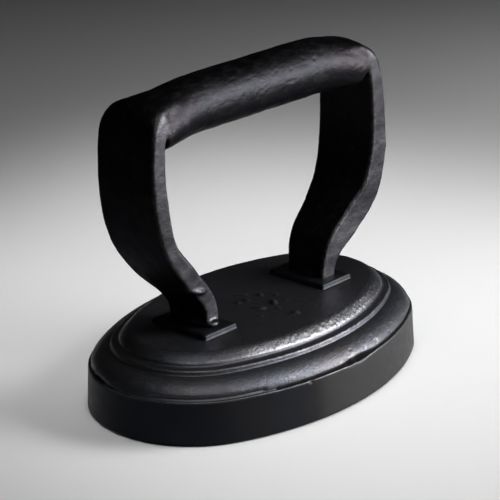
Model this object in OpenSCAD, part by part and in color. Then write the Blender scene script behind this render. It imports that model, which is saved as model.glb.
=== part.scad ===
// Oval flat iron: a moulded cast-iron base with a hand-forged loop handle.
// Millimetres. +Z is up, the sole lies on Z = 0 and X runs along the iron.

/* [Base casting] */
// Length of the sole
sole_length = 130; // [120:1:145]
// Width of the sole
sole_width = 87.2; // [84:0.2:92]
// Height of the ground side wall
wall_height = 14.6; // [12:0.2:16.4]
// How far the side wall leans in at its top
wall_draft = 0.8; // [0:0.1:1.5]
// Width of the parting shelf above the side wall
parting_shelf = 0.6; // [0.2:0.1:1]
// Height of the flat top of the casting
plateau_height = 25.6; // [24.6:0.1:30]

/* [Mouldings] */
// Inset of the inner end of the broad bead
bead_inset = 8; // [6:0.1:9]
// Rise of the broad bead
bead_rise = 5.6; // [3:0.1:6]
// Rise of the small step above the bead
step_rise = 1.6; // [0.8:0.1:2]
// Width of the ledge inside the step
ledge_width = 1.2; // [0.6:0.1:1.6]
// Width of the hollow curve that follows the ledge
cove_width = 1.8; // [1:0.1:2]
// Rise of the hollow curve
cove_rise = 1.4; // [0.8:0.1:2]
// Width of the rounded shoulder of the flat top
ovolo_width = 2.4; // [1.4:0.1:3]

/* [Handle pads] */
// Length of each raised pad along the iron
pad_length = 14.6; // [12:0.2:18]
// Width of each raised pad across the iron
pad_width = 24; // [20:0.5:28]
// Height of each raised pad
pad_height = 1.6; // [1:0.1:3]
// Chamfer round the top of each pad
pad_chamfer = 0.6; // [0.2:0.1:0.9]

/* [Handle strap] */
// Thickness of the forged strap
strap_thickness = 6; // [5:0.2:7]
// Width of the strap at its feet
foot_width = 16; // [14:0.5:20]
// Width of the strap at its knees
knee_width = 24.5; // [22:0.5:27]
// Width of the strap at its shoulders
shoulder_width = 23.5; // [22:0.5:26]
// Distance from the middle of the handle to each foot
foot_reach = 28.5; // [27:0.1:30]
// Distance from the middle of the handle to each knee
knee_reach = 52; // [50:0.1:54]
// Distance from the middle of the handle to each shoulder
shoulder_reach = 51; // [50:0.1:54]
// Height of the bend above each foot
ankle_height = 35; // [34:0.5:37]
// Height of the bend at each knee
knee_height = 58; // [56:0.5:62]
// Height of the strap's middle at the shoulders
shoulder_height = 101.2; // [100.2:0.1:102.2]
// Turn of the hand-set handle on the base, in degrees
handle_turn = -2.6; // [-6:0.1:6]
// Offset of the handle's middle along the base
handle_offset = -0.3; // [-2:0.1:2]

/* [Grip] */
// Height of the grip's axis
grip_height = 99.2; // [98.2:0.1:100.2]
// Radius of the grip
grip_radius = 9.4; // [8.9:0.1:9.9]
// Radius of the hollow inside the rolled grip
grip_bore_radius = 4.8; // [3:0.1:5.5]
// Half length of the straight part of the grip
grip_half_length = 27; // [23:1:33]
// Distance from the middle of the handle to each end of the roll
roll_reach = 46.6; // [45.6:0.1:47]
// Width of the seam under the grip
seam_width = 0.8; // [0.4:0.1:1.2]

/* [Hidden] */

ARC_STEPS = 10;
BEND_STEPS = 12;
CORE_STEPS = 8;
iron_black = [0.10, 0.10, 0.11];
handle_black = [0.07, 0.07, 0.08];

// Four-centre oval set out on an 8-15-17 triangle, so its arcs meet exactly.
triangle_unit = (sole_length - sole_width) / 12;
end_centre = 8 * triangle_unit;
side_centre = 15 * triangle_unit;
end_radius = sole_length / 2 - end_centre;
side_radius = end_radius + 17 * triangle_unit;
joint_angle = atan2(15, 8);
core_inset = 20;
core_overlap = 12;
wedge_reach = 12;

// Mouldings, as insets from the sole's outline and heights above it.
bead_foot = [wall_draft + parting_shelf, wall_height];
bead_head = [bead_inset, wall_height + bead_rise];
step_head = [bead_inset + 0.3, bead_head[1] + step_rise - 0.4];
ledge_edge = [bead_inset + 0.7, bead_head[1] + step_rise];
ledge_inner = ledge_edge + [ledge_width, 0.1];
cove_head = ledge_inner + [cove_width, cove_rise];
ovolo_head = [cove_head[0] + ovolo_width, plateau_height];

// Strap tangs that the iron was poured round.
tang_bottom = 10;
tang_head_height = 4;
tang_spread = 1.6;

// Bend radii of the strap's centre line, and the handle's other fixed sizes.
ankle_bend = 8;
knee_bend = 24;
shoulder_bend = 6.6;
taper_start = 34;
taper_end = 58;
waist_half_width = 6.5;
flare_step = 0.1;
flare_drop = 2;
flare_half_height = 6.7;
flare_fn = 32;
slice = 0.4;

// Quarter ellipse that starts upright and ends level.
function round_out(low, high) = [
    for (i = [0 : ARC_STEPS])
        let (t = 90 * i / ARC_STEPS)
        [high[0] - (high[0] - low[0]) * cos(t), low[1] + (high[1] - low[1]) * sin(t)]
];

// Quarter ellipse that starts level and ends upright.
function hollow_out(low, high) = [
    for (i = [0 : ARC_STEPS])
        let (t = 90 * i / ARC_STEPS)
        [low[0] + (high[0] - low[0]) * sin(t), low[1] + (high[1] - low[1]) * (1 - cos(t))]
];

// The casting's profile, from the sole's edge in to the flat top, in whole microns.
moulding = [
    for (p = concat(
        [[0, 0], [wall_draft, wall_height]],
        round_out(bead_foot, bead_head),
        [step_head, ledge_edge],
        hollow_out(ledge_inner, cove_head),
        [for (q = round_out(cove_head, ovolo_head)) if (q != cove_head) q]
    ))
        [round(1000 * p[0]), round(1000 * p[1])] / 1000
];

// The moulding turned right round one centre of the oval.
module moulded_ring(radius) {
    core = radius - core_inset - core_overlap;
    rotate_extrude($fn = 180)
        polygon(concat(
            [[core, 0]],
            [for (p = moulding) [radius - p[0], p[1]]],
            [[core, plateau_height]]
        ));
}

// A wedge from the origin that opens between two directions.
module wedge(from, to) {
    translate([0, 0, -1])
        linear_extrude(height = plateau_height + 2)
            polygon([[0, 0], wedge_reach * from, wedge_reach * to]);
}

// Two round ends and two long sides, each a slice of its own ring.
module moulded_body() {
    for (side = [-1, 1]) {
        translate([side * end_centre, 0, 0]) intersection() {
            moulded_ring(end_radius);
            wedge([side * 8, side * -15], [side * 8, side * 15]);
        }
        translate([0, side * -side_centre, 0]) intersection() {
            moulded_ring(side_radius);
            wedge([side * 8, side * 15], [side * -8, side * 15]);
        }
    }
    moulded_core();
}

// Plain block that fills the middle of the casting, under the flat top.
module moulded_core() {
    step = (180 - 2 * joint_angle) / CORE_STEPS;
    reach = side_radius - core_inset;
    arc = [
        for (i = [0 : CORE_STEPS])
            let (a = joint_angle + i * step)
            [reach * cos(a), reach * sin(a) - side_centre]
    ];
    linear_extrude(height = plateau_height)
        polygon(concat(arc, [for (p = arc) -p]));
}

// A pad seen from one side: a low bar with chamfered top corners.
module pad_outline(length) {
    half = length / 2;
    low = plateau_height - 1;
    top = plateau_height + pad_height;
    polygon([
        [-half, low], [half, low], [half, top - pad_chamfer],
        [half - pad_chamfer, top], [pad_chamfer - half, top], [-half, top - pad_chamfer]
    ]);
}

module pad() {
    intersection() {
        rotate([90, 0, 0]) linear_extrude(height = pad_width, center = true) pad_outline(pad_length);
        rotate([90, 0, 90]) linear_extrude(height = pad_length, center = true) pad_outline(pad_width);
    }
}

// Places a child in the handle's own frame on the base.
module on_base() {
    translate([handle_offset, 0, 0]) rotate([0, 0, handle_turn]) children();
}

// Buried end of the strap, wider at its bottom so that it can't pull out.
module tang() {
    half = strap_thickness / 2;
    spread = half + tang_spread;
    rotate([90, 0, 0])
        linear_extrude(height = foot_width, center = true)
            polygon([
                [-spread, tang_bottom], [spread, tang_bottom], [half, tang_bottom + tang_head_height],
                [half, taper_start - 4], [-half, taper_start - 4], [-half, tang_bottom + tang_head_height]
            ]);
}

function heading(a, b) = atan2(b[1] - a[1], b[0] - a[0]);
function side_of(h) = [-sin(h), cos(h)];

// Points of a polyline with rounded corners, moved to its left by shift.
function bent_line(corners, shift) = concat(
    [[corners[0][0], corners[0][1]] + shift * side_of(heading(corners[0], corners[1]))],
    [for (i = [1 : len(corners) - 2])
        let (
            here = [corners[i][0], corners[i][1]],
            bend = corners[i][2],
            h1 = heading(corners[i - 1], corners[i]),
            turn_raw = heading(corners[i], corners[i + 1]) - h1,
            turn = turn_raw > 180 ? turn_raw - 360 : (turn_raw < -180 ? turn_raw + 360 : turn_raw),
            way = turn > 0 ? 1 : -1,
            back = bend * tan(abs(turn) / 2),
            centre = here - back * [cos(h1), sin(h1)] + way * bend * side_of(h1)
        )
        for (k = [0 : BEND_STEPS])
            centre - way * (bend - way * shift) * side_of(h1 + turn * k / BEND_STEPS)
    ],
    [let (n = len(corners) - 1)
        [corners[n][0], corners[n][1]] + shift * side_of(heading(corners[n - 1], corners[n]))]
);

function reversed(list) = [for (i = [len(list) - 1 : -1 : 0]) list[i]];

// Corners of the strap's centre line on one side, foot first: x, z, bend radius.
half_strap = [
    [foot_reach, taper_start - 4, 0],
    [foot_reach, ankle_height, ankle_bend],
    [knee_reach, knee_height, knee_bend],
    [shoulder_reach, shoulder_height, shoulder_bend]
];
whole_strap = concat(half_strap, [for (p = reversed(half_strap)) [-p[0], p[1], p[2]]]);

module strap_loop() {
    half = strap_thickness / 2;
    rotate([90, 0, 0])
        linear_extrude(height = knee_width + 4, center = true)
            polygon(concat(bent_line(whole_strap, half), reversed(bent_line(whole_strap, -half))));
}

// Front outline of the strap: narrow feet that widen smoothly to the knees.
module strap_taper() {
    lift = [for (i = [0 : ARC_STEPS])
        let (t = i / ARC_STEPS, ease = t * t * (3 - 2 * t))
        [(foot_width + (knee_width - foot_width) * ease) / 2, taper_start + (taper_end - taper_start) * t]];
    right_edge = concat([[foot_width / 2, taper_start - 4]], lift, [[shoulder_width / 2, grip_height + 8]]);
    rotate([90, 0, 90])
        linear_extrude(height = 3 * knee_reach, center = true)
            polygon(concat(right_edge, [for (p = reversed(right_edge)) [-p[0], p[1]]]));
}

// Trims the strap's edges where they are rolled down into the grip.
module roll_waist() {
    for (side = [-1, 1])
        mirror([0, side < 0 ? 1 : 0, 0])
            translate([0, 0, grip_height - strap_thickness])
                linear_extrude(height = 3 * strap_thickness)
                    polygon([
                        [-grip_half_length, waist_half_width], [grip_half_length, waist_half_width],
                        [roll_reach, knee_width / 2], [roll_reach, knee_width], [-roll_reach, knee_width],
                        [-roll_reach, knee_width / 2]
                    ]);
}

module disc_along_x(radius, thickness, fn) {
    rotate([0, 90, 0]) cylinder(r = radius, h = thickness, center = true, $fn = fn);
}

// The roll opens out to the strap's full width before it meets the strap.
module flare() {
    hull() {
        translate([grip_half_length, 0, grip_height])
            disc_along_x(grip_radius - flare_step, slice, flare_fn);
        translate([roll_reach - slice / 2, 0, grip_height - flare_drop])
            scale([1, 1, 2 * flare_half_height / shoulder_width])
                disc_along_x(shoulder_width / 2, slice, flare_fn);
    }
}

module grip_hollow() {
    translate([0, 0, grip_height])
        disc_along_x(grip_bore_radius, 2 * roll_reach - 8, 64);
    translate([0, 0, grip_height - grip_radius])
        cube([2 * roll_reach + 0.6, seam_width, 2 * grip_radius - 8], center = true);
}

module base_casting() {
    color(iron_black)
        difference() {
            union() {
                moulded_body();
                on_base() for (side = [-1, 1]) translate([side * foot_reach, 0, 0]) pad();
            }
            on_base() for (side = [-1, 1]) translate([side * foot_reach, 0, 0]) tang();
        }
}

module handle() {
    color(handle_black)
        on_base()
            difference() {
                union() {
                    for (side = [-1, 1]) translate([side * foot_reach, 0, 0]) tang();
                    difference() {
                        intersection() {
                            strap_loop();
                            strap_taper();
                        }
                        roll_waist();
                    }
                    translate([0, 0, grip_height]) disc_along_x(grip_radius, 2 * grip_half_length, 96);
                    flare();
                    mirror([1, 0, 0]) flare();
                }
                grip_hollow();
            }
}

base_casting();
handle();
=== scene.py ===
import math

import bmesh
import bpy
import numpy as np
from mathutils import Matrix, Vector, noise


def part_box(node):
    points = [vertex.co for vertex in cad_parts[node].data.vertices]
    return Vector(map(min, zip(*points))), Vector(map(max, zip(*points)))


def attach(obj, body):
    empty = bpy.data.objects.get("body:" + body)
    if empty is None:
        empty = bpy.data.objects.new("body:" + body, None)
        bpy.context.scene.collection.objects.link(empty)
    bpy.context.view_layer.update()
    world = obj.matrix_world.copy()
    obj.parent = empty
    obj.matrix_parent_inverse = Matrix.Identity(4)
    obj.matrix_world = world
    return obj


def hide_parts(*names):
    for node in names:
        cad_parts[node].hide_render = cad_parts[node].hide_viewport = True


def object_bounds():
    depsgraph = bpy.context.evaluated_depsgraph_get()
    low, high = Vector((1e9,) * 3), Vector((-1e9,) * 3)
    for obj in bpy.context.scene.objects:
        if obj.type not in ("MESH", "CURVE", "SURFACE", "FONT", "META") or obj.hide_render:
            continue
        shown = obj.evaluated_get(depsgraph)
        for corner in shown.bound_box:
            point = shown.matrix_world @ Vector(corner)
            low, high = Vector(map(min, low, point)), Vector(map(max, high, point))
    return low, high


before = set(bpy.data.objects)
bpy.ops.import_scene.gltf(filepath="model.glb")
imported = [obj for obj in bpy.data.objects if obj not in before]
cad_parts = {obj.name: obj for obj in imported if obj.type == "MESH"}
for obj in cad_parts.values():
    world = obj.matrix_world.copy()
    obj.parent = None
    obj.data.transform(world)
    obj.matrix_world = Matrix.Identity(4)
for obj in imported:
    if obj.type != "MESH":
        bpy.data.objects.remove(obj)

# An oval flat iron on a pale floor: a casting with two pads, and the forged loop handle that is cast into it.
cad_box = [list(corner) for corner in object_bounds()]
MM = 0.001

base_low, base_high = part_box("base_casting")
handle_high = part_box("handle")[1]

# ------------------------------------------------------------------ sizes, in millimetres
HALF_LENGTH = (base_high.x - base_low.x) / 2 / MM
HALF_WIDTH = (base_high.y - base_low.y) / 2 / MM
HANDLE_TOP = handle_high.z / MM
BODY_TOP = 25.6
WALL_HEIGHT = 14.6
WALL_DRAFT = 0.8
BEAD_INSET = 8.0
BEAD_TOP = 20.2
STEP_INSET = BEAD_INSET + 0.8
STEP_TOP = 21.8

# The handle stands a little turned and off the middle, and the pads go with it.
HANDLE_TURN = math.radians(-2.6)
HANDLE_OFFSET = -0.3
FOOT_REACH = 28.5

# How fine the meshes are: points round the casting and a pad, and the size of the handle's voxels.
CASTING_COLUMNS = 600
PAD_COLUMNS = 220
HANDLE_VOXEL = 0.52

# Four-centre oval on an 8-15-17 triangle.
UNIT = (HALF_LENGTH - HALF_WIDTH) / 6
END_CENTRE = 8 * UNIT
SIDE_CENTRE = 15 * UNIT
END_RADIUS = HALF_LENGTH - END_CENTRE
SIDE_RADIUS = END_RADIUS + 17 * UNIT
JOINT_ANGLE = math.atan2(15, 8)


# ------------------------------------------------------------------ small helpers
def smooth(t, low=0.0, high=1.0):
    """0 below low, 1 above high, an even curve between them."""
    t = np.clip((t - low) / (high - low), 0, 1)
    return t * t * (3 - 2 * t)


def hump(t, middle, reach):
    """1 at the middle, falling smoothly to 0 at that reach on either side."""
    return 1 - smooth(abs(t - middle), 0, reach)


def ridge(t, middle, reach):
    """1 at the middle, falling away as a bell curve of about that reach."""
    return np.exp(-(((t - middle) / reach) ** 2))


def rough(points, size, seed):
    """Smooth noise from -1 to 1 at each point, with features about that many millimetres across."""
    shift = Vector((seed * 17.3, seed * 5.9, seed * 11.1))
    return np.array([noise.noise(Vector(p) / size + shift) for p in points])


def catmull(controls, steps):
    """Points of a smooth curve through the controls, with that many steps between each two."""
    through = [np.array(p, float) for p in controls]
    through = [2 * through[0] - through[1]] + through + [2 * through[-1] - through[-2]]
    out = []
    for before, start, end, after in zip(through, through[1:], through[2:], through[3:]):
        for k in range(steps):
            t = k / steps
            square = 2 * before - 5 * start + 4 * end - after
            cube = 3 * start - before - 3 * end + after
            out.append(0.5 * (2 * start + (end - before) * t + square * t**2 + cube * t**3))
    out.append(through[-2])
    return np.array(out)


def link_object(name, data):
    obj = bpy.data.objects.new(name, data)
    bpy.context.scene.collection.objects.link(obj)
    return obj


def mesh_object(name, points, faces):
    mesh = bpy.data.meshes.new(name)
    mesh.from_pydata([tuple(p) for p in points], [], faces)
    mesh.validate()
    mesh.update()
    return link_object(name, mesh)


def bmesh_object(name, bm):
    mesh = bpy.data.meshes.new(name)
    bm.to_mesh(mesh)
    bm.free()
    return link_object(name, mesh)


def loft(rows, close_ends=True):
    """Points and faces of rows that each go once round, with flat ends unless they are left open."""
    count = len(rows[0])
    faces = []
    for r in range(len(rows) - 1):
        this, above = r * count, (r + 1) * count
        for c in range(count):
            n = (c + 1) % count
            faces.append((this + c, this + n, above + n, above + c))
    if close_ends:
        faces.append(tuple(range(count))[::-1])
        faces.append(tuple(range((len(rows) - 1) * count, len(rows) * count)))
    return [p for row in rows for p in row], faces


def coords(obj):
    co = np.zeros(len(obj.data.vertices) * 3)
    obj.data.vertices.foreach_get("co", co)
    return co.reshape(-1, 3)


def normals(obj):
    out = np.zeros(len(obj.data.vertices) * 3, np.float32)
    obj.data.vertex_normals.foreach_get("vector", out)
    return out.reshape(-1, 3).astype(float)


def set_coords(obj, co):
    obj.data.vertices.foreach_set("co", co.ravel())
    obj.data.update()


def edge_pairs(obj):
    pairs = np.zeros(len(obj.data.edges) * 2, int)
    obj.data.edges.foreach_get("vertices", pairs)
    return pairs.reshape(-1, 2)


def neighbour_mean(points, pairs):
    """Mean of each point's neighbours."""
    total = np.zeros(points.shape)
    number = np.zeros(len(points))
    for a, b in ((0, 1), (1, 0)):
        np.add.at(total, pairs[:, a], points[pairs[:, b]])
        np.add.at(number, pairs[:, a], 1)
    return total / np.maximum(number, 1)[:, None]


def store(obj, name, values):
    attribute = obj.data.attributes.new(name, "FLOAT", "POINT")
    attribute.data.foreach_set("value", values.astype(np.float32))


def store_same(obj, name, value):
    store(obj, name, np.full(len(obj.data.vertices), value))


def store_proud(obj, rounds, full):
    """Stores how far each vertex stands out of its surroundings: edges above 0, creases below, 1 at full."""
    pairs = edge_pairs(obj)
    co = coords(obj)
    soft = co.copy()
    for _ in range(rounds):
        soft = neighbour_mean(soft, pairs)
    proud = ((co - soft) * normals(obj)).sum(1)
    store(obj, "proud", np.clip(proud / full, -1, 1))


def shade_smooth(obj):
    obj.data.polygons.foreach_set("use_smooth", [True] * len(obj.data.polygons))


def fix_normals(obj, weld=0.0):
    """Turns every face outwards, after merging vertices that are nearer than weld."""
    bm = bmesh.new()
    bm.from_mesh(obj.data)
    if weld:
        bmesh.ops.remove_doubles(bm, verts=bm.verts, dist=weld)
    bmesh.ops.recalc_face_normals(bm, faces=bm.faces)
    bm.to_mesh(obj.data)
    bm.free()


def set_on_base(co):
    """Points of the handle or a pad, turned and shifted to where the handle stands on the casting."""
    co = co @ np.array(Matrix.Rotation(HANDLE_TURN, 3, "Z")).T
    co[:, 0] += HANDLE_OFFSET
    return co


def to_metres(obj):
    obj.data.transform(Matrix.Scale(MM, 4))
    obj.data.update()


# ------------------------------------------------------------------ the casting's outline and section
def folded(angle):
    """The angle, mirrored into the first quarter turn."""
    angle = np.abs(np.arctan2(np.sin(angle), np.cos(angle)))
    return np.minimum(angle, math.pi - angle)


def outline_directions(count):
    """Directions of the oval's outward normal, even along its edge."""
    fine = np.linspace(0, 2 * math.pi, 12 * count + 1)
    radius = np.where(folded(fine) < JOINT_ANGLE, END_RADIUS, SIDE_RADIUS)
    along = np.concatenate([[0], np.cumsum((radius[1:] + radius[:-1]) / 2 * np.diff(fine))])
    return np.interp(np.arange(count) * along[-1] / count, along, fine)


DIRECTIONS = outline_directions(CASTING_COLUMNS)


def oval(inset):
    """The oval's points, moved in by inset. Past the ends' radius it closes on to the long axis."""
    cos, sin = np.cos(DIRECTIONS), np.sin(DIRECTIONS)
    at_end = folded(DIRECTIONS) < JOINT_ANGLE
    deepest = END_RADIUS - 0.4
    radius = np.where(at_end, END_RADIUS, SIDE_RADIUS) - np.minimum(inset, deepest)
    x = np.where(at_end, np.sign(cos) * END_CENTRE, 0) + radius * cos
    y = np.where(at_end, 0, -np.sign(sin) * SIDE_CENTRE) + radius * sin
    past = np.maximum(inset - deepest, 0) / (HALF_WIDTH - deepest)
    return x, y * (1 - past)


def quarter(low, high, steps, rising, flat=1.0):
    """Quarter ellipse from low to high. Rising starts upright, otherwise level. Flat above 1 flattens it."""
    out = []
    for i in range(steps + 1):
        c, s = math.cos(math.pi / 2 * i / steps), math.sin(math.pi / 2 * i / steps)
        c, s = max(c, 0) ** flat, s**flat
        if rising:
            out.append((high[0] - (high[0] - low[0]) * c, low[1] + (high[1] - low[1]) * s))
        else:
            out.append((low[0] + (high[0] - low[0]) * s, low[1] + (high[1] - low[1]) * (1 - c)))
    return out


def line(start, end, steps):
    return [
        (start[0] + (end[0] - start[0]) * i / steps, start[1] + (end[1] - start[1]) * i / steps)
        for i in range(steps + 1)
    ]


# Small turns of the half section as (inset, height): the sole's rounded edge, and then the parting crease and
# the step's riser, each from where it starts.
SOLE_EDGE = [(1.2, 0.0), (0.8, 0.05), (0.45, 0.2), (0.2, 0.45), (0.08, 0.8)]
CREASE = [(0.8, -0.6), (0.85, -0.3), (1.0, -0.1), (1.25, 0), (1.5, 0.1)]
RISER = [(0.15, 0.15), (0.3, 0.6), (0.4, 1.0), (0.55, 1.4), (0.75, 1.55)]

# The narrow ledge on the step and the cove that leaves it.
LEDGE_WIDTH = 0.9
LEDGE_RISE = 0.05
COVE_WIDTH = 1.4
COVE_RISE = 0.9

# The rounded band that climbs from the cove to the flat top.
BAND_WIDTH = 4.2
BAND_RISE = 2.7
BAND_EASE = 1.7


def band(steps):
    """Steep where it leaves the cove, easing to level at the top."""
    return [(BAND_WIDTH * i / steps, -BAND_RISE * (1 - i / steps) ** BAND_EASE) for i in range(1, steps + 1)]


def section():
    """The casting's half section as (inset, height), from the middle of the sole to the middle of the top."""
    cove_foot = (STEP_INSET + LEDGE_WIDTH, STEP_TOP + LEDGE_RISE)
    cove_head = (cove_foot[0] + COVE_WIDTH, STEP_TOP + COVE_RISE)
    parts = [
        line((HALF_WIDTH, 0), (END_RADIUS, 0), 3),
        line((END_RADIUS - 1, 0), (2, 0), 8),
        SOLE_EDGE,
        line((0.09, 1.2), (WALL_DRAFT - 0.04, WALL_HEIGHT - 0.9), 26),
        [(x, WALL_HEIGHT + z) for x, z in CREASE],
        quarter((1.56, WALL_HEIGHT + 0.2), (BEAD_INSET, BEAD_TOP), 24, True, 1.2),
        [(BEAD_INSET + x, BEAD_TOP + z) for x, z in RISER],
        line((STEP_INSET + 0.15, STEP_TOP), cove_foot, 3),
        quarter(cove_foot, cove_head, 6, False)[1:],
        [(cove_head[0] + x, BODY_TOP + z) for x, z in band(12)],
        line((cove_head[0] + BAND_WIDTH + 0.3, BODY_TOP), (END_RADIUS, BODY_TOP), 38),
        line((END_RADIUS + 0.6, BODY_TOP), (HALF_WIDTH, BODY_TOP), 13),
    ]
    return [p for part in parts for p in part]


# ------------------------------------------------------------------ the casting's surface
def on_front(y):
    return smooth(-y, 4, 8)


def on_front_right(x, y):
    """1 at the front right, where the casting is roughest, and 0 at the back and at the left end."""
    return smooth(-y, 8, 34) * smooth(x, -38, -8)


# Each function below takes points of the smooth casting, with their inset and height in its section, and says
# how far each point is pushed out along its normal.
def parting(co, inset, height):
    """The crease between the wall and the bead, and the painted shade that blackens it. It is closed round
    the left end and the front left, apart from a notch at the left end, and opens into a gap in the middle of
    the front."""
    x, y = co[:, 0], co[:, 1]
    front = on_front(y)
    left_end = smooth(-x, 45, 50)
    notch = left_end * hump(y, 14.5, 9)
    gap = front * hump(x, 1, 11)
    crease = 0.35 * (1 - left_end * smooth(-y, -24, -20))
    crease = crease * (1 - front * (1 - smooth(x, -34.5, -32.5)))
    crease += notch - 0.3 * left_end * hump(y, -2, 9) + gap
    near_wall = inset < 3
    opening = ridge(height, WALL_HEIGHT + 0.2, 0.3 + 0.45 * gap + 0.3 * left_end) * near_wall
    dent = -crease * opening * (0.8 + 0.6 * rough(co, 2.6, 1))
    # Painted shade: the crease is painted black where it opens on the front right and in the notch, and
    # faintly along the back.
    crease_shade = ridge(height, WALL_HEIGHT + 0.1, 0.17 + 0.35 * gap) * near_wall * np.clip(crease / 0.3, 0, 1)
    at_back = 0.3 * (1 - front) * (1 - left_end)
    return dent, crease_shade * (np.maximum(front * smooth(x, -35, -32), notch) + at_back)


def flash(co, inset, height):
    """A thin lip of flash that stands out over the wall on the front left, and chips in the edge after it."""
    x, y = co[:, 0], co[:, 1]
    lip = on_front(y) * (1 - smooth(x, -37, -36)) * smooth(-y, 7, 12)
    lip_line = ridge(height, WALL_HEIGHT - 0.15, 0.22) * (inset < 1.5)
    hollow = ridge(height, WALL_HEIGHT + 0.75, 0.55) * (inset < 4)
    chips = on_front(y) * hump(x, -21, 8) * np.clip(rough(co, 1.7, 12), 0, 1)
    chipped_edge = ridge(height, WALL_HEIGHT - 0.5, 0.6) * (inset < 1.5)
    return lip * (0.16 * lip_line - 0.5 * hollow) - 0.6 * chips * chipped_edge


def skin(co, height, top, front_right):
    """Sand-cast skin, rougher on the mouldings and roughest at the front right."""
    above_wall = smooth(height, WALL_HEIGHT - 0.3, WALL_HEIGHT + 0.6)
    waves = 0.10 * rough(co, 14, 2) + 0.05 * rough(co, 3.2, 3)
    grain = (0.018 + 0.05 * front_right * (1 - top)) * rough(co * [1, 1, 0.7], 0.95, 4)
    pits = 0.35 * np.clip(rough(co, 1.5, 5) - 0.42, 0, 1) * (0.4 + front_right)
    return above_wall * (waves * (1 - 0.3 * top) + grain - pits)


def nicks(co, inset, height, on_band, front_right):
    """Nicks along the edge of the step, and the band's ragged granular face."""
    step_edge = ridge(inset, STEP_INSET, 0.35) * (height > STEP_TOP - 1)
    nicked = 0.34 * np.clip(rough(co, 1.8, 6) - 0.08, 0, 1) * step_edge * (0.5 + front_right)
    return on_band * front_right * (0.20 * rough(co, 1.3, 13) + 0.11 * rough(co, 0.8, 14)) - nicked


def lumps(co, top):
    """Worn, unreadable lumps of casting in the middle of the top."""
    patch = smooth(1 - np.hypot((co[:, 0] + 1) / 13, (co[:, 1] + 8) / 19), 0, 0.6)
    return 0.85 * patch * top * smooth(rough(co * [1, 0.7, 1], 2.8, 8), 0.1, 0.5)


def grinding(co, height):
    """Slow waves and a few pits in the ground side wall."""
    wall = (height > 0.02) & (height < WALL_HEIGHT - 0.7)
    return np.where(wall, 0.05 * rough(co, 18, 9) - 0.12 * np.clip(rough(co, 1.6, 10) - 0.6, 0, 1), 0)


def build_casting():
    outline = section()
    rings = []
    for ring_inset, ring_height in outline:
        x, y = oval(ring_inset)
        rings.append(np.stack([x, y, np.full(CASTING_COLUMNS, ring_height)], 1))
    obj = mesh_object("casting", *loft(rings, close_ends=False))
    inset = np.repeat([p[0] for p in outline], CASTING_COLUMNS)
    height = np.repeat([p[1] for p in outline], CASTING_COLUMNS)

    co = coords(obj)
    x, y = co[:, 0], co[:, 1]
    # Where each point is: on the flat top, on the band below it, at the front right.
    top = smooth(inset, 13.5, 16) * (height > 20)
    on_band = smooth(height, STEP_TOP + 0.8, STEP_TOP + 1.6) * (1 - smooth(inset, 14.6, 16.2))
    front_right = on_front_right(x, y)
    dent, crease_shade = parting(co, inset, height)
    push = dent + flash(co, inset, height) + skin(co, height, top, front_right)
    push += nicks(co, inset, height, on_band, front_right) + lumps(co, top) + grinding(co, height)

    shaped = co + normals(obj) * push[:, None]
    # The flat top is slightly dished, and nothing stands out past the CAD's sides or sole.
    shaped[:, 2] -= 0.22 * smooth(inset, 15, 32) * (height > BODY_TOP - 0.9)
    shaped[:, 0] = np.clip(shaped[:, 0], -HALF_LENGTH, HALF_LENGTH)
    shaped[:, 1] = np.clip(shaped[:, 1], -HALF_WIDTH, HALF_WIDTH)
    shaped[height <= 0, 2] = 0
    set_coords(obj, shaped)
    store(obj, "crease_shade", crease_shade)
    # Painted sheen: the band's front right is made brighter and more reflective where the lamps' highlight
    # falls on it.
    painted_band_sheen = smooth(-y, 10, 26) * smooth(x, -42, -22) * (1 - smooth(x, 16, 38))
    store(obj, "painted_band_sheen", on_band * painted_band_sheen * (1 - smooth(inset, 12.6, 14.6)))

    fix_normals(obj, weld=0.002)
    shade_smooth(obj)
    store_proud(obj, 3, 0.06)
    welded = coords(obj)
    store(obj, "ground", 1 - smooth(welded[:, 2], WALL_HEIGHT - 0.9, WALL_HEIGHT - 0.2))
    # The material also uses this for the painted light on the wall's front right.
    store(obj, "front_right", on_front_right(welded[:, 0], welded[:, 1]))
    to_metres(obj)
    return obj


# ------------------------------------------------------------------ the pads under the strap's feet
PAD_LENGTH = 14.6
PAD_WIDTH = 24.0
PAD_RISE = 1.7
PAD_SUNK = 0.5
PAD_EDGE = 0.6
PAD_CORNER = 0.35


def pad_ring(out, height):
    """Once round the pad's rounded rectangle, grown by out on every side."""
    half_length, half_width = PAD_LENGTH / 2 + out, PAD_WIDTH / 2 + out
    corner = max(PAD_CORNER + out, 0.05)
    ring = []
    for k in range(PAD_COLUMNS):
        angle = 2 * math.pi * (k + 0.5) / PAD_COLUMNS
        c, s = math.cos(angle), math.sin(angle)
        scale = min(half_length / abs(c), half_width / abs(s))
        x, y = c * scale, s * scale
        past_x, past_y = abs(x) - (half_length - corner), abs(y) - (half_width - corner)
        if past_x > 0 and past_y > 0:
            far = math.hypot(past_x, past_y)
            x = math.copysign(half_length - corner + past_x * corner / far, x)
            y = math.copysign(half_width - corner + past_y * corner / far, y)
        ring.append((x, y, height + BODY_TOP - 0.1))
    return ring


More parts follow.
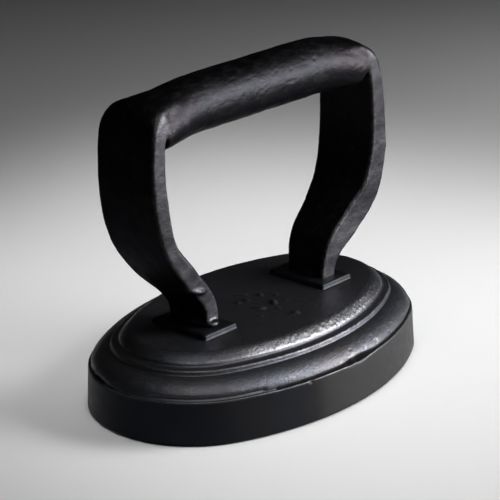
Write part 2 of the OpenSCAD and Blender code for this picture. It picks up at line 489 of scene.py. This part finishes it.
def build_pad(name, side):
    outline = [(0.5, -PAD_SUNK), (0.2, 0.1), (0.05, 0.4)]
    outline += [(-inset, z) for inset, z in quarter((0, PAD_RISE - PAD_EDGE), (0.9, PAD_RISE), 6, True)]
    outline += [(-2.5, PAD_RISE), (-4.5, PAD_RISE), (-7.2, PAD_RISE)]
    obj = mesh_object(name, *loft([pad_ring(out, height) for out, height in outline]))
    shade_smooth(obj)
    co = coords(obj)
    push = 0.10 * rough(co, 5, 20 + side) + 0.05 * rough(co, 1.3, 22 + side)
    co = co + normals(obj) * push[:, None]
    co[:, 0] += side * FOOT_REACH
    set_coords(obj, set_on_base(co))
    store_proud(obj, 1, 0.1)
    # The pads share the casting's material. They are nearly as dark and smooth as its ground wall.
    store_same(obj, "ground", 0.9)
    store_same(obj, "crease_shade", 0)
    store_same(obj, "painted_band_sheen", 0)
    store_same(obj, "front_right", 0.3)
    to_metres(obj)
    return obj


# ------------------------------------------------------------------ the handle's strap
# Stations of the strap's middle line, from the foot up to the crown. Each one has its distance from the
# middle of the handle, height, thickness, half width in front and behind, and how far its two edges droop.
LEFT = [
    (28, 22, 6.5, 8, 8.5, 0),  # foot
    (28, 31, 6, 8, 9, 0),  # instep
    (31, 37.5, 6, 9, 10.5, 0),  # ankle
    (41, 48.5, 6.5, 11.5, 13, 0),  # rise of the bow
    (49, 60, 5.5, 12, 13.5, 0),  # knee
    (52.5, 76, 6, 12, 13, 0),  # widest
    (52, 92, 5.5, 11.5, 13, 0),  # neck
    (49.5, 100, 6.5, 11, 12.5, 1),  # shoulder
    (43, 103, 6, 9, 10, 2.5),  # turn into the crown
]
RIGHT = [
    (29, 22, 7, 8, 7, 0),
    (29, 30, 7, 8.5, 7.5, 0),
    (32, 38, 9, 9.5, 8.5, 0),
    (41, 46.5, 10, 10.5, 9.5, 0),
    (48, 56, 9, 12, 11, 0),
    (51.5, 72, 7.5, 12, 12, 0),
    (50.5, 92, 6, 11.5, 12, 0),
    (48, 100.5, 6.5, 11, 11.5, 1),
    (41, 103.5, 6, 9, 9.5, 2.5),
]

# The crown runs inside the top of the grip, between two stations that differ only in their side.
CROWN_REACH = 20
CROWN = (104, 4.5, 6, 6, 3)

# Steps along the strap from station to station, and round its section.
STATION_STEPS = 18
FACE_STEPS = 22
EDGE_STEPS = 6
CORNER_STEPS = 4


def strap_section(thickness, front, back):
    """Once round the strap's rounded rectangle: u along Y, v from the inner face to the outer one."""
    corner = min(0.75, 0.3 * thickness)
    corners = [(-front, 1), (back, 1), (back, -1), (-front, -1)]
    points = []
    for n, (u, v) in enumerate(corners):
        centre_u = u - math.copysign(corner, u)
        centre_v = v * (thickness / 2 - corner)
        start = math.pi - n * math.pi / 2
        for k in range(CORNER_STEPS + 1):
            angle = start - math.pi / 2 * k / CORNER_STEPS
            points.append((centre_u + corner * math.cos(angle), centre_v + corner * math.sin(angle)))
        from_u, from_v = points[-1]
        end = start - math.pi / 2
        next_u, next_v = corners[(n + 1) % 4]
        to_u = next_u - math.copysign(corner, next_u) + corner * math.cos(end)
        to_v = next_v * (thickness / 2 - corner) + corner * math.sin(end)
        steps = FACE_STEPS if n % 2 == 0 else EDGE_STEPS
        for k in range(1, steps):
            t = k / steps
            points.append((from_u + (to_u - from_u) * t, from_v + (to_v - from_v) * t))
    return points


def strap_rows():
    table = [(-reach, *rest) for reach, *rest in LEFT]
    table += [(-CROWN_REACH, *CROWN), (CROWN_REACH, *CROWN)]
    table += RIGHT[::-1]
    stations = catmull(table, STATION_STEPS)
    along = np.gradient(stations[:, :2], axis=0)
    along /= np.linalg.norm(along, axis=1)[:, None]
    rows = []
    for (x, z, thickness, front, back, droop), (run, rise) in zip(stations, along):
        middle, outward = np.array([x, 0, z]), np.array([-rise, 0, run])
        rows.append([
            middle + outward * (v - droop * (u / front) ** 2) + np.array([0, u, 0])
            for u, v in strap_section(thickness, front, back)
        ])
    return rows


# ------------------------------------------------------------------ the handle's rolled grip
# Its top runs almost level, rises a little to the right and falls away past ROLL_LEVEL.
ROLL_TOP = 108.2
ROLL_TILT = 0.01
ROLL_DROP = 5
ROLL_LEVEL = 20
ROLL_REACH = 48
ROLL_BOTTOM = 89.7
ROLL_HALF_WIDTH = 9.4

# Towards its ends it flares, down and out.
FLARE_START, FLARE_END = 25.85, 47
FLARE_DOWN = 1.4
FLARE_OUT = 1.9

# How far each end is from the middle, and how far its lower part leans in from the strap.
ROLL_LEFT = (48.2, -1.8)
ROLL_RIGHT = (46.8, 3.0)
LEAN_HEIGHT = 97.5

# The metal round its hollow, at the sides and at the top, and the seam along its underside.
GRIP_SIDE_WALL = 4.4
GRIP_TOP_WALL = 4.6
SEAM_HALF = 0.45
SEAM_LOW, SEAM_HIGH = 87, 98
SEAM_REACH = 49.0


def roll_profile(x):
    """Half width, half height and middle height of the rolled grip at x."""
    flare = smooth(abs(x), FLARE_START, FLARE_END)
    fall = np.clip((abs(x) - ROLL_LEVEL) / (ROLL_REACH - ROLL_LEVEL), 0, 1)
    top = ROLL_TOP + ROLL_TILT * x - ROLL_DROP * fall**3
    bottom = ROLL_BOTTOM - FLARE_DOWN * flare
    return ROLL_HALF_WIDTH + FLARE_OUT * flare, (top - bottom) / 2, (top + bottom) / 2


def roll_rows(outer):
    """Rings of the grip. Its ends lean, to stand off the strap at the bottom and meet it at the top."""
    rings, columns = 91, 120
    rows = []
    for station in np.linspace(-1, 1, rings):
        reach, full_lean = ROLL_LEFT if station < 0 else ROLL_RIGHT
        lean = full_lean * smooth(abs(station), 0.75, 1.0)
        half_width, half_height, middle = roll_profile(reach * station)
        if not outer:
            half_width, half_height = half_width - GRIP_SIDE_WALL, half_height - GRIP_TOP_WALL
        ring = []
        for k in range(columns):
            angle = 2 * math.pi * k / columns
            y, z = half_width * math.sin(angle), middle + half_height * math.cos(angle)
            ring.append((reach * station - lean * smooth(LEAN_HEIGHT - z, 0, 8), y, z))
        rows.append(ring)
    return rows


# ------------------------------------------------------------------ the handle as one forging
def join(objects):
    bpy.ops.object.select_all(action="DESELECT")
    for obj in objects:
        obj.select_set(True)
    bpy.context.view_layer.objects.active = objects[0]
    bpy.ops.object.join()
    return objects[0]


def apply(obj, kind, **settings):
    modifier = obj.modifiers.new(kind, kind)
    for key, value in settings.items():
        setattr(modifier, key, value)
    bpy.ops.object.select_all(action="DESELECT")
    obj.select_set(True)
    bpy.context.view_layer.objects.active = obj
    bpy.ops.object.modifier_apply(modifier=modifier.name)


def blob(name, centre, radii, turn=0.0):
    """A lump of metal, turned about Y, that the remesh melts into the strap."""
    bm = bmesh.new()
    bmesh.ops.create_icosphere(bm, subdivisions=3, radius=1)
    move = Matrix.Translation(centre) @ Matrix.Rotation(turn, 4, "Y") @ Matrix.Diagonal((*radii, 1))
    bmesh.ops.transform(bm, matrix=move, verts=bm.verts)
    return bmesh_object(name, bm)


def hollow_roll():
    """The rolled grip, with its bore and the seam along its underside cut out."""
    roll = mesh_object("roll", *loft(roll_rows(True)))
    bore = mesh_object("bore", *loft(roll_rows(False)))
    corners = [(-SEAM_HALF, SEAM_LOW), (SEAM_HALF, SEAM_LOW), (SEAM_HALF, SEAM_HIGH), (-SEAM_HALF, SEAM_HIGH)]
    seam = mesh_object("seam", *loft([[(x, y, z) for y, z in corners] for x in (-SEAM_REACH, SEAM_REACH)]))
    for obj in (roll, bore, seam):
        fix_normals(obj)
    for tool in (bore, seam):
        apply(roll, "BOOLEAN", object=tool, operation="DIFFERENCE", solver="EXACT")
        bpy.data.objects.remove(tool)
    return roll


def melt(obj):
    """Evens out the voxels' steps: twice all over, and many times more where the grip runs into the strap."""
    pairs = edge_pairs(obj)
    co = coords(obj)
    joint = 0.5 * (smooth(co[:, 2], 97, 101) * smooth(np.abs(co[:, 0]), 30, 36))[:, None]
    for amount in [0.5] * 2 + [joint] * 24:
        co = co + amount * (neighbour_mean(co, pairs) - co)
    set_coords(obj, co)


def build_handle():
    strap = mesh_object("handle", *loft(strap_rows()))
    fix_normals(strap)
    handle = join([
        strap, hollow_roll(),
        blob("collar_left", (-28.2, -0.6, 28), (4.4, 9.4, 2.2)),
        blob("collar_right", (28.9, 0, 27.6), (4.6, 7.9, 1.8)),
        blob("fold", (-37.4, -9.8, 42.2), (5.0, 1.4, 0.9), math.radians(20)),
    ])
    handle.name = "handle_forged"
    apply(handle, "REMESH", mode="VOXEL", voxel_size=HANDLE_VOXEL, adaptivity=0)
    melt(handle)
    shade_smooth(handle)

    co = coords(handle)
    out = normals(handle)
    grip = smooth(co[:, 2], 87, 91) * smooth(np.abs(co[:, 0]), 49, 46)
    hammer = 0.16 * rough(co, 9, 30) + 0.06 * rough(co, 3.4, 31)
    dents = -0.22 * np.clip(rough(co * [0.55, 1, 1], 1.5, 32) - 0.2, 0, 0.6) * (0.25 + 0.75 * grip)
    fine = 0.035 * rough(co, 1.0, 33)
    ripple = 0.10 * rough(co * [0.3, 0.3, 1], 4, 34) * (1 - grip)
    co = set_on_base(co + out * (hammer + dents + fine + ripple)[:, None])
    co[:, 2] = np.minimum(co[:, 2], HANDLE_TOP)
    set_coords(handle, co)

    store_proud(handle, 3, 0.08)
    # The strap's narrow faces are worn bright near the feet and less so higher up. At the upper right they
    # are painted darker, painted shade against the sheen light that falls there.
    narrow_face = smooth(np.abs(out[:, 1]), 0.75, 0.95) * (1 - grip)
    higher = smooth(co[:, 2], 34, 60)
    shaded_upper_right = smooth(co[:, 0], 20, 40) * smooth(co[:, 2], 60, 80)
    store(handle, "edge", narrow_face * (1 - 0.6 * higher) * (1 - 0.35 * shaded_upper_right))
    to_metres(handle)
    return handle


# ------------------------------------------------------------------ materials
class Nodes:
    """Short way to write a node tree."""

    def __init__(self, name):
        self.material = bpy.data.materials.new(name)
        self.material.use_nodes = True
        self.tree = self.material.node_tree
        self.tree.nodes.clear()
        self.shader = self.add("ShaderNodeBsdfPrincipled")
        output = self.add("ShaderNodeOutputMaterial")
        self.link(self.shader.outputs[0], output.inputs["Surface"])
        self.place = self.add("ShaderNodeTexCoord").outputs["Object"]

    def add(self, kind, **settings):
        node = self.tree.nodes.new(kind)
        for key, value in settings.items():
            setattr(node, key, value)
        return node

    def link(self, a, b):
        self.tree.links.new(a, b)

    def feed(self, socket, value):
        if isinstance(value, (int, float, tuple)):
            socket.default_value = value
        else:
            self.link(value, socket)

    def noise(self, size, detail=3, rough=0.55, stretch=None):
        """Noise with features about size millimetres across."""
        node = self.add("ShaderNodeTexNoise")
        node.inputs["Scale"].default_value = 1 / (size * MM)
        node.inputs["Detail"].default_value = detail
        node.inputs["Roughness"].default_value = rough
        place = self.place
        if stretch:
            mapping = self.add("ShaderNodeMapping")
            mapping.inputs["Scale"].default_value = stretch
            self.link(place, mapping.inputs["Vector"])
            place = mapping.outputs[0]
        self.link(place, node.inputs["Vector"])
        return node.outputs["Fac"]

    def attribute(self, name):
        return self.add("ShaderNodeAttribute", attribute_name=name).outputs["Fac"]

    def maths(self, operation, *values):
        node = self.add("ShaderNodeMath", operation=operation)
        for socket, value in zip(node.inputs, values):
            self.feed(socket, value)
        return node.outputs[0]

    def times(self, a, b):
        return self.maths("MULTIPLY", a, b)

    def ramp(self, value, low, high, start=0.0, end=1.0):
        """Start where the value is low, end where it is high, an even curve between them."""
        node = self.add("ShaderNodeMapRange", interpolation_type="SMOOTHSTEP")
        self.feed(node.inputs["Value"], value)
        for socket, number in zip(("From Min", "From Max", "To Min", "To Max"), (low, high, start, end)):
            node.inputs[socket].default_value = number
        return node.outputs[0]

    def mix(self, amount, a, b):
        """From colour a to colour b. The node's colours are its inputs 6 and 7 and its output 2."""
        node = self.add("ShaderNodeMix", data_type="RGBA")
        self.feed(node.inputs["Factor"], amount)
        for socket, value in ((node.inputs[6], a), (node.inputs[7], b)):
            if isinstance(value, tuple):
                value = (*value, 1)
            self.feed(socket, value)
        return node.outputs[2]

    def blend(self, amount, a, b):
        """From number a to number b. The node's numbers are its inputs 2 and 3 and its output 0."""
        node = self.add("ShaderNodeMix", data_type="FLOAT")
        self.feed(node.inputs["Factor"], amount)
        self.feed(node.inputs[2], a)
        self.feed(node.inputs[3], b)
        return node.outputs[0]

    def bump(self, height, distance, strength, under=None):
        """Bumps of that distance in millimetres, over the bumps under them."""
        node = self.add("ShaderNodeBump")
        self.link(height, node.inputs["Height"])
        node.inputs["Distance"].default_value = distance * MM
        node.inputs["Strength"].default_value = strength
        if under:
            self.link(under, node.inputs["Normal"])
        return node.outputs[0]

    def set(self, name, value):
        self.feed(self.shader.inputs[name], value)


# Linear base colours. Warm and cool are the two tints that drift across each surface.
CAST = {
    "warm": (0.037, 0.035, 0.039),
    "cool": (0.034, 0.036, 0.042),
    "mottled": (0.045, 0.043, 0.047),
    # Painted sheen on the band's front right.
    "worn": (0.080, 0.080, 0.085),
    "painted_band_sheen": (0.14, 0.14, 0.146),
    "wall_warm": (0.0115, 0.0115, 0.0125),
    "wall_cool": (0.0095, 0.0105, 0.014),
    # Painted light on the wall's front right.
    "wall_painted_light": (0.023, 0.023, 0.024),
    # Painted shade: near black for the parting crease.
    "crease_shade": (0.0005, 0.0005, 0.0005),
}
FORGED = {
    "warm": (0.0095, 0.0085, 0.0095),
    "cool": (0.008, 0.008, 0.0092),
    "mottled": (0.018, 0.017, 0.019),
    "worn": (0.04, 0.04, 0.042),
    "edge": (0.056, 0.055, 0.061),
}
FORGED_SHEEN = (0.50, 0.50, 0.51, 1)


def cast_material():
    m = Nodes("cast_blackened")
    ground = m.attribute("ground")
    front_right = m.attribute("front_right")
    tint = m.noise(26, 2)
    mottle = m.noise(3.2, 4, 0.6)
    grain = m.noise(0.55, 3, 0.65)
    specks = m.noise(0.9, 2, 0.5)
    wear = m.times(m.ramp(m.attribute("proud"), 0.2, 1.0), m.ramp(mottle, 0.3, 0.7))
    painted_band_sheen = m.times(m.ramp(m.attribute("painted_band_sheen"), 0.0, 0.8), m.ramp(grain, 0.38, 0.62, 0.2, 1.0))
    crease_shade = m.ramp(m.attribute("crease_shade"), 0.2, 0.7)

    colour = m.mix(m.ramp(tint, 0.38, 0.62), CAST["warm"], CAST["cool"])
    colour = m.mix(m.ramp(mottle, 0.45, 0.75, 0, 0.5), colour, CAST["mottled"])
    colour = m.mix(m.times(wear, 0.5), colour, CAST["worn"])
    # Painted sheen on the band's front right, speckled by the grain.
    colour = m.mix(painted_band_sheen, colour, CAST["painted_band_sheen"])
    wall = m.mix(m.ramp(tint, 0.35, 0.65), CAST["wall_warm"], CAST["wall_cool"])
    # Painted light: the wall is lighter at the front right, where the lamps on the right fall on it.
    wall = m.mix(m.ramp(front_right, 0.6, 1.0), wall, CAST["wall_painted_light"])
    colour = m.mix(ground, colour, wall)
    # Painted shade: the crease is painted near black, and made rough and not metallic so that it shows no
    # reflection.
    m.set("Base Color", m.mix(crease_shade, colour, CAST["crease_shade"]))
    m.set("Metallic", m.ramp(crease_shade, 0.0, 1.0, 0.85, 0.0))
    m.set("Specular IOR Level", 0.1)

    skin_rough = m.maths("SUBTRACT", m.ramp(grain, 0.3, 0.75, 0.37, 0.56), m.times(wear, 0.08))
    wall_rough = m.ramp(mottle, 0.3, 0.7, 0.46, 0.54)
    m.set("Roughness", m.maths("MAXIMUM", m.blend(ground, skin_rough, wall_rough), crease_shade))

    # The wall is ground nearly smooth, and the rest is coarsest at the front right.
    unground = m.maths("SUBTRACT", 1.0, m.times(ground, 0.85))
    amount = m.times(unground, m.ramp(front_right, 0.0, 1.0, 0.65, 1.0))
    pits = m.times(m.ramp(specks, 0.58, 0.72, 0.0, -1.0), amount)
    m.set("Normal", m.bump(pits, 0.08, 0.6, m.bump(m.times(grain, amount), 0.14, 0.75)))
    return m.material


def forged_material():
    m = Nodes("forged_blackened")
    tint = m.noise(18, 2)
    mottle = m.noise(2.6, 4, 0.6, stretch=(0.6, 1, 1))
    fine = m.noise(0.7, 3, 0.6)
    wear = m.times(m.ramp(m.attribute("proud"), 0.3, 1.0), m.ramp(mottle, 0.3, 0.65))
    edge = m.times(m.attribute("edge"), m.ramp(mottle, 0.3, 0.7, 0.65, 1.0))

    colour = m.mix(m.ramp(tint, 0.38, 0.62), FORGED["warm"], FORGED["cool"])
    colour = m.mix(m.ramp(mottle, 0.5, 0.75, 0, 0.6), colour, FORGED["mottled"])
    colour = m.mix(m.times(wear, 0.5), colour, FORGED["worn"])
    m.set("Base Color", m.mix(edge, colour, FORGED["edge"]))
    m.set("Metallic", 1.0)
    m.set("Specular Tint", FORGED_SHEEN)
    m.set("Roughness", m.ramp(mottle, 0.3, 0.75, 0.41, 0.52))
    m.set("Normal", m.bump(fine, 0.10, 0.8, m.bump(mottle, 0.18, 0.55)))
    return m.material


def floor_material():
    m = Nodes("paper_floor")
    m.set("Base Color", (0.80, 0.80, 0.80, 1))
    m.set("Roughness", 0.85)
    m.set("Specular IOR Level", 0.2)
    return m.material


# ------------------------------------------------------------------ camera, floor and lights, in metres
CAMERA_AZIMUTH = math.radians(-49.86)
CAMERA_ELEVATION = math.radians(20.08)
CAMERA_ROLL = math.radians(-1.28)
CAMERA_AIM = Vector((0, 0, 0.045))
CAMERA_DISTANCE = 0.65


def build_camera():
    flat = math.cos(CAMERA_ELEVATION)
    back = Vector((
        math.sin(CAMERA_AZIMUTH) * flat, -math.cos(CAMERA_AZIMUTH) * flat, math.sin(CAMERA_ELEVATION),
    ))
    level = Vector((math.cos(CAMERA_AZIMUTH), math.sin(CAMERA_AZIMUTH), 0))
    upright = back.cross(level)
    c, s = math.cos(CAMERA_ROLL), math.sin(CAMERA_ROLL)
    turn = Matrix((c * level + s * upright, c * upright - s * level, back)).transposed().to_4x4()
    data = bpy.data.cameras.new("camera")
    data.sensor_width = 36
    data.lens = 142.7
    data.shift_x, data.shift_y = -0.006, -0.012
    data.clip_start, data.clip_end = 0.02, 20
    camera = link_object("camera", data)
    camera.matrix_world = Matrix.Translation(CAMERA_AIM + CAMERA_DISTANCE * back) @ turn
    bpy.context.scene.camera = camera


def build_floor():
    bm = bmesh.new()
    bmesh.ops.create_grid(bm, x_segments=24, y_segments=24, size=2.5)
    floor = bmesh_object("floor", bm)
    floor.location.z = cad_box[0][2]
    floor.data.materials.append(floor_material())


def area_light(name, place, target, size, power, spread=180):
    data = bpy.data.lights.new(name, "AREA")
    data.shape = "RECTANGLE"
    data.size, data.size_y = size
    data.energy = power
    data.spread = math.radians(spread)
    light = link_object(name, data)
    light.location = place
    light.rotation_euler = (Vector(target) - light.location).to_track_quat("-Z", "Y").to_euler()
    return light


def build_lights():
    world = bpy.data.worlds.new("studio")
    bpy.context.scene.world = world
    world.use_nodes = True
    background = world.node_tree.nodes["Background"]
    background.inputs["Color"].default_value = (0.9, 0.95, 1.0, 1)
    background.inputs["Strength"].default_value = 0.008
    # Two lights shape the floor's pool of light and the soft shadow on the left.
    for name, place, target, size, power, spread in (
        ("floor_key", (0.387, -0.532, 0.38), (0.19, -0.44, 0), (0.40, 0.30), 4.1, 132),
        ("floor_top", (0.05, 0.04, 0.32), (0.05, 0.04, 0), (0.30, 0.30), 0.17, 42),
    ):
        area_light(name, place, target, size, power, spread).visible_glossy = False
    # Three softboxes show only in the iron's sheen: on the grip and wall, on the mouldings, from the left.
    for name, place, target, size, power in (
        ("sheen_right", (0.51, -0.58, 0.21), (0, 0, 0.07), (0.30, 0.30), 17.0),
        ("sheen_front", (0.26, -0.56, 0.46), (0, 0, 0.02), (0.34, 0.20), 8.0),
        ("sheen_left", (-0.25, -0.22, 0.50), (0, 0, 0.02), (0.35, 0.35), 2.2),
    ):
        area_light(name, place, target, size, power).visible_diffuse = False


# ------------------------------------------------------------------ the scene
cast = cast_material()
forged = forged_material()
casting = build_casting()
pads = [build_pad("pad_left", -1), build_pad("pad_right", 1)]
handle = build_handle()

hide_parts("base_casting")
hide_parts("handle")
for piece, material, slot in (
    (casting, cast, "cast_base"), (pads[0], cast, "cast_base"), (pads[1], cast, "cast_base"),
    (handle, forged, "forged_handle"),
):
    piece.data.materials.clear()
    piece.data.materials.append(material)
    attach(piece, "root")

build_camera()
build_floor()
build_lights()
bpy.context.scene.view_settings.view_transform = "Standard"
